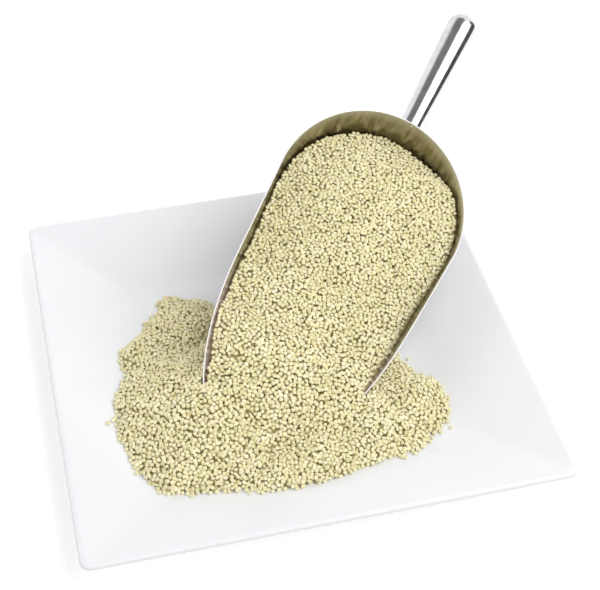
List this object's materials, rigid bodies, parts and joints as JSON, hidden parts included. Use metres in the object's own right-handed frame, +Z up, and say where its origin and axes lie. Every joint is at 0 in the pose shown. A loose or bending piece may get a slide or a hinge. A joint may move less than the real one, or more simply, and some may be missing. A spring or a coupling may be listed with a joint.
{
  "type": "dish of quinoa",
  "caption": "Square white porcelain dish with a heap of dry quinoa pouring from a full steel scoop that lies in it, its handle out over the far corner.",
  "frame": {"origin": "centre of the dish's flat foot, on the surface that it stands on", "axes": "+Z up; +X to the dish's right side and +Y to its far side, parallel to its edges; the scoop's mouth points to the near left and its handle to the far right"},
  "size_m": [0.2378, 0.2563, 0.0732],
  "materials": {
    "porcelain": "glossy clear glaze over white",
    "steel": "satin stainless sheet",
    "polished_steel": "polished stainless tube",
    "quinoa": "dry matt grain, cream to straw"
  },
  "bodies": {
    "root": {"dish": "porcelain", "scoop_bowl": "steel", "scoop_handle": "polished_steel", "quinoa": "quinoa"}
  },
  "joints": []
}
